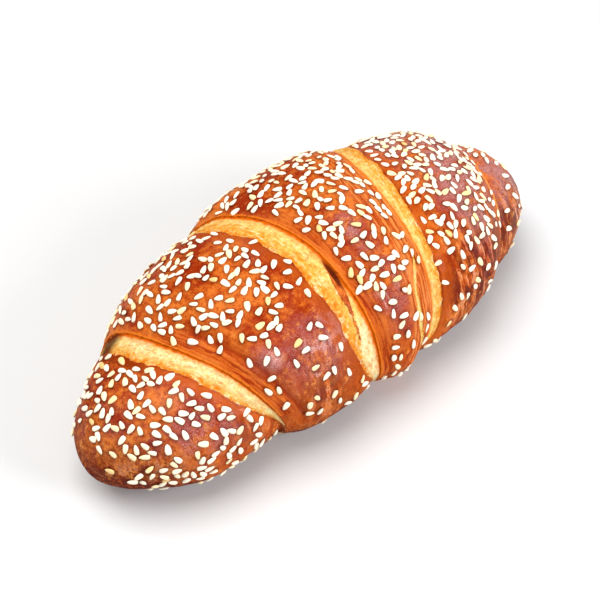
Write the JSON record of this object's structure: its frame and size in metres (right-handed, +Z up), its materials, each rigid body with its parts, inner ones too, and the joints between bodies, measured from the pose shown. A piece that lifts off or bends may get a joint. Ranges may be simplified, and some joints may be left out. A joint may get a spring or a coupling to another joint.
{
  "type": "croissant",
  "caption": "Baked croissant of rolled dough with glossy brown crust, pale torn bands between its wraps and sesame seeds on top.",
  "frame": {"origin": "middle of the underside, on the surface the croissant rests on", "axes": "+X along the roll to its far, blunter end, -Y to the front that the picture shows, +Z up"},
  "size_m": [0.1742, 0.0783, 0.0571],
  "materials": {
    "crust": "glossy browned crust with pale torn bands",
    "seed": "satin cream sesame seeds"
  },
  "bodies": {
    "root": {"croissant": "crust"}
  },
  "joints": []
}
